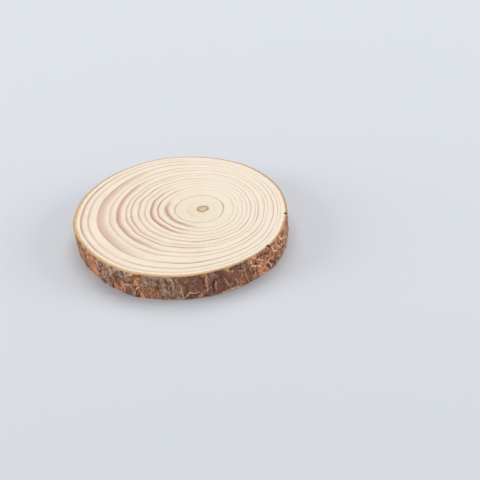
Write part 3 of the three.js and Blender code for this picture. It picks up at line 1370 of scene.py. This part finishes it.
@dataclass(frozen=True)
class BarkFinish:
    """Flaky pine bark: red where flakes broke off lately, grey where it has weathered.

    Attributes:
        layers: the colours from the deepest layer to the outermost.
        layer_span: how many layers those colours cover.
        inner: the colours across the sawn edge, from the wood outwards.
        amber: the sawn edge where it is resinous.
        husk: the outside of the sawn edge where it is dry.
        lip: the pale edges of flakes.
        ridge: the tan ridges.
        vein: the pale lines.
        crack_dark_and_shade: the bottoms of cracks and sunk lines, partly their own dark and partly
            painted shade in them.
        moss: the faint green of old bark.
        flush: the faint red of the layers below.
        roughness: the roughness all over.
        gloss: the specular level all over.
        relief: the depth of the finest relief, in millimetres.
        strand: the width of the finest fibres, in millimetres.
        strand_squat: how much they are stretched along the trunk, inverted.
        mottle: the size of the small mottling, in millimetres.
        cloud: the size of the faint patches, in millimetres.
        grit: the size of the grit, in millimetres.
        resin_mean: how resinous the sawn edge is where its colours lie as listed.
        resin_shift: how far resin moves those colours inwards.
    """

    layers: Stops = (
        (0.00, (228, 163, 113)),
        (0.13, (204, 140, 104)),
        (0.28, (164, 106, 87)),
        (0.36, (144, 91, 69)),
        (0.43, (131, 92, 82)),
        (0.58, (172, 130, 101)),
        (0.74, (187, 156, 136)),
        (0.93, (106, 84, 74)),
    )
    layer_span: float = 6.0
    inner: Stops = (
        (0.00, (246, 230, 206)),
        (0.20, (228, 202, 168)),
        (0.55, (212, 180, 140)),
        (1.00, (190, 152, 108)),
    )
    amber: Colour = (222, 162, 96)
    husk: Colour = (150, 118, 80)
    lip: Colour = (224, 168, 122)
    ridge: Colour = (216, 158, 114)
    vein: Colour = (246, 206, 172)
    # painted shade in cracks and sunk lines, together with their own dark
    crack_dark_and_shade: Colour = (54, 33, 26)
    moss: Colour = (118, 110, 84)
    flush: Colour = (164, 104, 92)
    roughness: float = 0.88
    gloss: float = 0.2
    relief: float = 0.16
    strand: float = 0.5
    strand_squat: float = 0.28
    mottle: float = 1.4
    cloud: float = 5.0
    grit: float = 0.35
    resin_mean: float = 0.75
    resin_shift: float = 0.42

    def material(self) -> bpy.types.Material:
        """Lays the finish down.

        Returns:
            The material.
        """
        recipe = Recipe("flaky_bark", self.roughness, self.gloss)
        place = recipe.place()
        upright = recipe.vector("MULTIPLY", place, (1.0, 1.0, self.strand_squat))
        fibres = recipe.grain(upright, self.strand * MM, 4.0, 0.65)
        mottle = recipe.grain(place, self.mottle * MM, 5.0, 0.65)
        clouds = recipe.grain(place, self.cloud * MM, 3.0)
        grit = recipe.grain(place, self.grit * MM, 3.0, 0.6)

        # The layer that shows, mottled
        level = recipe.figure("MULTIPLY_ADD", recipe.measure("level"), 1 / self.layer_span, 0.5)
        level = recipe.figure("ADD", level, recipe.spread(mottle, 0.25, 0.75, -0.19, 0.19))
        base = recipe.ramp(level, self.layers)
        # Fibres and grit, weaker where the bark is smooth, then the fibres' relief painted lighter where
        # they stand out and darker where they sink: partly their streaky colour, partly painted
        # highlight and shade
        grain = recipe.figure("ADD", recipe.spread(fibres, 0.25, 0.75, -0.65, 0.65),
                              recipe.spread(grit, 0.25, 0.75, -0.45, 0.45))
        rough = recipe.figure("MULTIPLY_ADD", recipe.measure("rough"), 0.7, 0.3)
        grain = recipe.figure("MULTIPLY", grain, rough)
        # painted highlight and shade: raised fibres lighter, sunk ones darker, along with their own
        # streaks
        grain = recipe.figure("ADD", recipe.measure("fibre"), grain)
        base = recipe.lit(base, recipe.figure("ADD", grain, 1.0))
        # Faint moss and flush, and the pale edges of flakes
        base = recipe.blend(recipe.spread(clouds, 0.56, 0.75, 0.0, 0.15), base, linear(self.moss))
        base = recipe.blend(recipe.spread(clouds, 0.3, 0.48, 0.45, 0.0), base, linear(self.flush))
        broken = recipe.spread(mottle, 0.35, 0.6, 0.15, 1.0)
        lip = recipe.figure("MULTIPLY", recipe.measure("lip"), broken)
        base = recipe.blend(lip, base, linear(self.lip))
        # Ridges and veins, the sawn edge, and the dark bottoms of cracks: partly their own dark, partly
        # painted shade
        vein = recipe.measure("vein")
        pale = recipe.blend(recipe.spread(vein, 0.55, 0.95), linear(self.ridge), linear(self.vein))
        shown_vein = recipe.figure("MULTIPLY", vein, recipe.spread(mottle, 0.3, 0.55, 0.5, 1.3))
        base = recipe.blend(shown_vein, base, pale)
        inside = recipe.spread(recipe.measure("depth"), SAWN_EDGE, 1.0, 1.0, 0.0)
        base = recipe.blend(inside, base, self.sawn(recipe, mottle, clouds))
        base = recipe.blend(recipe.measure("crack_dark_and_shade"), base, linear(self.crack_dark_and_shade))
        relief = recipe.figure("ADD", recipe.figure("MULTIPLY", fibres, 0.6),
                               recipe.figure("MULTIPLY", grit, 0.4))
        return recipe.finish(base, relief, self.relief)

    def sawn(self, recipe: Recipe, mottle: Source, clouds: Source) -> bpy.types.NodeSocket:
        """Colours the sawn edge.

        Args:
            recipe: the bark's material.
            mottle: small random variation.
            clouds: broad random variation.

        Returns:
            The colour.
        """
        # From pale next to the wood to tan outside, sooner where there is more resin
        depth, resin = recipe.measure("depth"), recipe.measure("resin")
        richer = recipe.figure("SUBTRACT", resin, self.resin_mean)
        shifted = recipe.figure("MULTIPLY_ADD", richer, self.resin_shift, depth)
        across = recipe.figure("ADD", shifted, recipe.spread(mottle, 0.3, 0.7, -0.12, 0.12))
        # Orange where it is resinous, and dull outside where it is dry
        orange = recipe.figure("MULTIPLY", recipe.spread(clouds, 0.46, 0.62, 0.0, 0.55),
                               recipe.spread(shifted, 0.1, 0.6))
        gold = recipe.blend(orange, recipe.ramp(across, self.inner), linear(self.amber))
        dull = recipe.figure("MULTIPLY", recipe.spread(resin, 0.0, 0.7, 0.55, 0.0),
                             recipe.spread(depth, 0.45, 0.85))
        return recipe.blend(dull, gold, linear(self.husk))


@dataclass
class BarkRing:
    """The ring of bark, sawn flush with the wood.

    Attributes:
        trunk: the trunk that it grew on.
        look: its finish.
        columns: how many points go round.
        rows: how many rows of faces go up the outside.
        sawn_rows: the rows of points across each sawn edge, as shares of the bark.
        resin_bearing: the direction in which the sawn edge is most resinous.
        resin_width: how far to each side of it the resin shows.
        slit_reach: the shares of the bark between which a slit starts to show in the sawn edge.
    """

    trunk: Trunk
    look: BarkFinish = field(default_factory=BarkFinish)
    columns: int = 1408
    rows: int = 50
    sawn_rows: tuple[float, ...] = (0.0, 0.3, 0.6, SAWN_EDGE)
    resin_bearing: float = math.radians(-140)
    resin_width: float = math.radians(125)
    slit_reach: Span = (0.2, 0.6)

    def build(self) -> bpy.types.Object:
        """Models the ring and dresses it.

        Returns:
            The piece, riding on the slice's body.
        """
        wood, bark, thickness = self.trunk.wood_radius, self.trunk.bark, self.trunk.thickness
        sawn = [wood + share * bark for share in self.sawn_rows]
        profile = [(radius, 0.0) for radius in sawn]
        profile += [(wood + bark, thickness * row / self.rows) for row in range(self.rows + 1)]
        profile += [(radius, thickness) for radius in reversed(sawn)]
        made = spun(profile, self.columns)
        self.carve(made)
        piece = shown(made, "bark_ring", self.look.material())
        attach(piece, "root")
        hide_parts("bark")
        return piece

    def carve(self, made: bmesh.types.BMesh) -> None:
        """Moves each point onto the bark, and notes what the bark is like there.

        Args:
            made: the spun ring, in millimetres.
        """
        names = ("depth", "resin", "level", "fibre", "lip", "crack_dark_and_shade", "vein", "rough")
        notes = {name: made.verts.layers.float.new(name) for name in names}
        skin = BarkSkin(self.trunk)
        middle = self.trunk.middle()
        for point in made.verts:
            bearing = math.atan2(point.co.y, point.co.x)
            depth = (point.co.xy.length - self.trunk.wood_radius) / self.trunk.bark
            spot = skin.at(bearing, point.co.z)
            resin = bell(abs(between(bearing, self.resin_bearing)), self.resin_width)
            outside = depth > 1 - TINY
            # The dark of cracks and lines that the finish paints: partly their own dark, partly painted
            # shade in them
            crack_dark_and_shade = max(spot.crack, spot.slit) if outside else spot.slit * ease(depth, *self.slit_reach)
            place = self.trunk.place(bearing, point.co.z, depth * spot.thickness)
            point.co = (place + middle) * MM
            values = (depth, resin, spot.level, spot.fibre, spot.lip, crack_dark_and_shade, spot.vein, spot.rough)
            for name, value in zip(names, values):
                point[notes[name]] = value


@dataclass(frozen=True)
class Lamp:
    """A soft square light that faces the slice.

    Attributes:
        name: its name.
        place: where it hangs, in metres.
        size: its width in metres.
        power: its power in watts.
    """

    name: str
    place: Vector
    size: float
    power: float

    def hang(self) -> None:
        """Hangs the light."""
        lamp = bpy.data.lights.new(self.name, "AREA")
        lamp.size = self.size
        lamp.energy = self.power
        hung = bpy.data.objects.new(self.name, lamp)
        hung.location = self.place
        hung.rotation_euler = self.place.to_track_quat("Z", "Y").to_euler()
        bpy.context.collection.objects.link(hung)


@dataclass
class Studio:
    """The pale floor, the soft lights and the camera, in metres and degrees.

    Attributes:
        trunk: the slice that stands in it.
        floor: the floor's half width.
        floor_colour: its colour.
        floor_roughness: its roughness.
        floor_gloss: its specular level.
        lamps: the lights.
        sky: the colour of the light from all round.
        sky_strength: how strong that light is.
        lens: the camera's focal length in millimetres.
        elevation: the camera's height above the horizon.
        roll: how far the camera is turned about its own axis.
        distance: from the camera to the middle of the slice, along the view, in millimetres.
        aside: how far the camera is moved to its right, in millimetres.
        above: how far it is moved up, in millimetres.
    """

    trunk: Trunk
    floor: float = 4.0
    floor_colour: Colour = (214, 217, 221)
    floor_roughness: float = 0.9
    floor_gloss: float = 0.1
    lamps: tuple[Lamp, ...] = (
        Lamp("overhead", Vector((0.0, 0.42, 0.85)), 0.8, 5.0),
        Lamp("left", Vector((-0.95, -0.1, 0.34)), 0.6, 5.8),
        Lamp("right", Vector((0.95, -0.1, 0.34)), 0.6, 5.4),
    )
    sky: Colour = (236, 240, 248)
    sky_strength: float = 0.38
    lens: float = 100.0
    elevation: float = 35.577
    roll: float = -3.43
    distance: float = 478.6
    aside: float = 21.0
    above: float = -5.69

    def build(self) -> None:
        """Sets the studio up."""
        self.lay_floor()
        for lamp in self.lamps:
            lamp.hang()
        self.sky_light()
        self.stand_camera()
        bpy.context.scene.view_settings.view_transform = "Standard"

    def lay_floor(self) -> None:
        """Lays the floor."""
        made = bmesh.new()
        bmesh.ops.create_grid(made, x_segments=1, y_segments=1, size=self.floor)
        recipe = Recipe("pale_floor", self.floor_roughness, self.floor_gloss)
        recipe.skin.inputs["Base Color"].default_value = linear(self.floor_colour)
        shown(made, "floor", recipe.material)

    def sky_light(self) -> None:
        """Fills the room with even light."""
        world = bpy.data.worlds.new("soft_room")
        world.use_nodes = True
        background = world.node_tree.nodes["Background"]
        background.inputs["Color"].default_value = linear(self.sky)
        background.inputs["Strength"].default_value = self.sky_strength
        bpy.context.scene.world = world

    def stand_camera(self) -> None:
        """Stands the camera where the slice fills the same part of the picture."""
        rise = math.radians(self.elevation)
        back = Vector((0.0, -math.cos(rise), math.sin(rise)))
        right = Vector((1.0, 0.0, 0.0))
        level = Matrix((right, back.cross(right), back)).transposed()
        turned = level @ Matrix.Rotation(math.radians(self.roll), 3, "Z")
        target = self.trunk.middle() + Vector((0, 0, self.trunk.thickness / 2))
        place = target + turned @ Vector((self.aside, self.above, self.distance))
        data = bpy.data.cameras.new("camera")
        data.lens = self.lens
        camera = bpy.data.objects.new("camera", data)
        camera.matrix_world = Matrix.Translation(place * MM) @ turned.to_4x4()
        bpy.context.collection.objects.link(camera)
        bpy.context.scene.camera = camera


def note_sizes() -> None:
    """Brings the scene's placements up to date."""
    bpy.context.view_layer.update()


def main() -> None:
    """Builds the slice piece by piece, then its studio."""
    logging.basicConfig(level=logging.INFO, format="%(name)s: %(message)s")
    noise.seed_set(SEED)
    trunk = sawn_trunk()
    for part in (WoodDisc(trunk), BarkRing(trunk)):
        piece = part.build()
        LOG.info("%s: %d faces", piece.name, len(piece.data.polygons))
    Studio(trunk).build()
    note_sizes()


if __name__ == "__main__":
    main()
